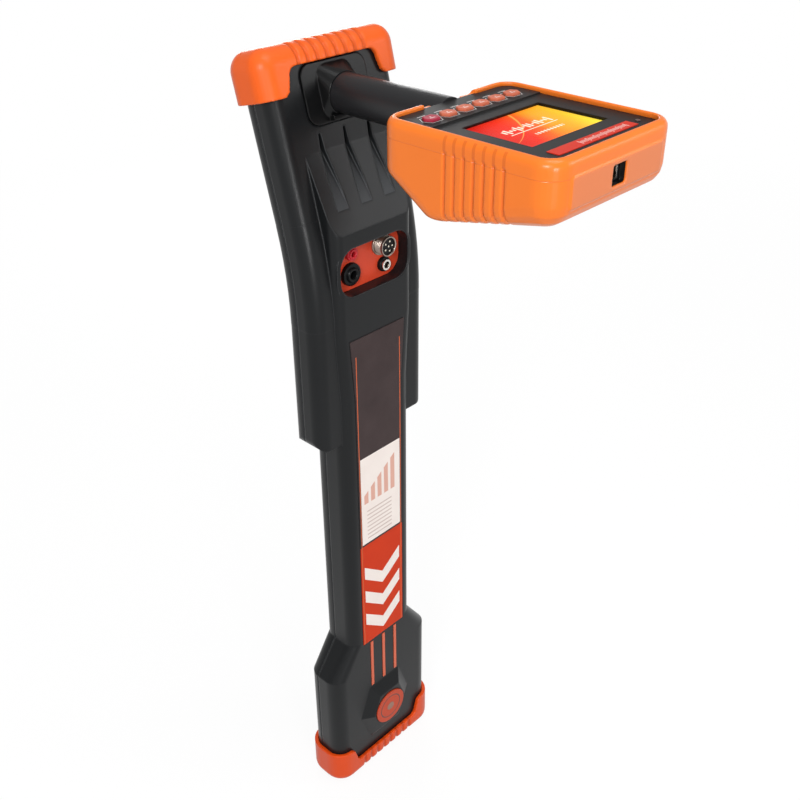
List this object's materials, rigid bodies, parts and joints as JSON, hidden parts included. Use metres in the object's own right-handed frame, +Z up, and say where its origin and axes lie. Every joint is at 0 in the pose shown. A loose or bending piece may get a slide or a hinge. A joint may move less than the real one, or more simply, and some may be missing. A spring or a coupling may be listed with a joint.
{
  "type": "cable locator",
  "caption": "Hand-held receiver wand of an underground cable locator: leaning head with ribbed rubber bumpers, connector pocket, round handle and a booted display unit with push keys.",
  "frame": {"origin": "middle of the sole, under the axis of the column", "axes": "+Z up along the column, -Y towards the front and the display unit, X across the wand"},
  "size_m": [0.134, 0.2814, 0.7],
  "materials": {
    "body": "fine moulded grain",
    "grip_black": "satin grip",
    "face_black": "dark printed film",
    "orange_rubber": "matt moulded rubber",
    "label": "printed plate in dark, white and red-orange",
    "stripe_orange": "satin",
    "badge": "red-orange enamel",
    "badge_dot": "grey-brown enamel",
    "panel_red": "printed plate",
    "nickel": "nickel plate",
    "socket_black": "moulded black",
    "contact": "plated pins",
    "socket_red": "moulded red",
    "screw_steel": "zinc plated",
    "window": "clear pane",
    "strip_red": "printed strip",
    "led": "dark lens",
    "battery": "cells in a shrink sleeve",
    "circuit": "coated board",
    "ferrite": "sintered grey",
    "winding": "enamelled copper winding",
    "lcd": "module frame",
    "silicone": "soft mat",
    "key_red": "printed key",
    "key_salmon": "printed key"
  },
  "bodies": {
    "wand": {"front_shell": "body", "rear_shell": "body", "top_bumper": "orange_rubber", "foot_boot": "orange_rubber", "front_label": "label", "foot_stripes": "stripe_orange", "badge_disc": "badge", "badge_centre": "badge_dot", "connector_panel": "panel_red", "signal_shell": "nickel", "signal_insert": "socket_black", "signal_pins": "contact", "banana_socket": "socket_red", "phone_jack": "socket_black", "charge_body": "socket_black", "charge_sleeve": "nickel", "socket_nuts": "screw_steel", "handle_plate": "body", "handle_tube": "grip_black", "display_housing": "body", "faceplate": "face_black", "display_boot": "orange_rubber", "lcd_window": "window", "label_strip": "strip_red", "status_led": "led", "usb_socket": "nickel", "lower_antenna_rod": "ferrite", "lower_antenna_coil": "winding", "null_antenna_rod": "ferrite", "null_antenna_coil": "winding", "upper_antenna_rod": "ferrite", "upper_antenna_coil": "winding", "battery_pack": "battery", "main_board": "circuit", "shell_screws": "screw_steel", "plate_screws": "screw_steel", "handle_harness": "socket_black", "lcd_module": "lcd", "display_board": "circuit", "keypad_mat": "silicone", "display_screws": "screw_steel", "sounder": "socket_black"},
    "key_1": {"key_1": "key_red"},
    "key_2": {"key_2": "key_salmon"},
    "key_3": {"key_3": "key_salmon"},
    "key_4": {"key_4": "key_salmon"},
    "key_5": {"key_5": "key_salmon"},
    "key_6": {"key_6": "key_salmon"}
  },
  "joints": [
    {"name": "key_1_press", "type": "slide", "parent": "wand", "child": "key_1", "axis": [0, 0, -1], "range_m": [0, 0.0005], "stiffness_N_per_m": 3000},
    {"name": "key_2_press", "type": "slide", "parent": "wand", "child": "key_2", "axis": [0, 0, -1], "range_m": [0, 0.0005], "stiffness_N_per_m": 3000},
    {"name": "key_3_press", "type": "slide", "parent": "wand", "child": "key_3", "axis": [0, 0, -1], "range_m": [0, 0.0005], "stiffness_N_per_m": 3000},
    {"name": "key_4_press", "type": "slide", "parent": "wand", "child": "key_4", "axis": [0, 0, -1], "range_m": [0, 0.0005], "stiffness_N_per_m": 3000},
    {"name": "key_5_press", "type": "slide", "parent": "wand", "child": "key_5", "axis": [0, 0, -1], "range_m": [0, 0.0005], "stiffness_N_per_m": 3000},
    {"name": "key_6_press", "type": "slide", "parent": "wand", "child": "key_6", "axis": [0, 0, -1], "range_m": [0, 0.0005], "stiffness_N_per_m": 3000}
  ]
}
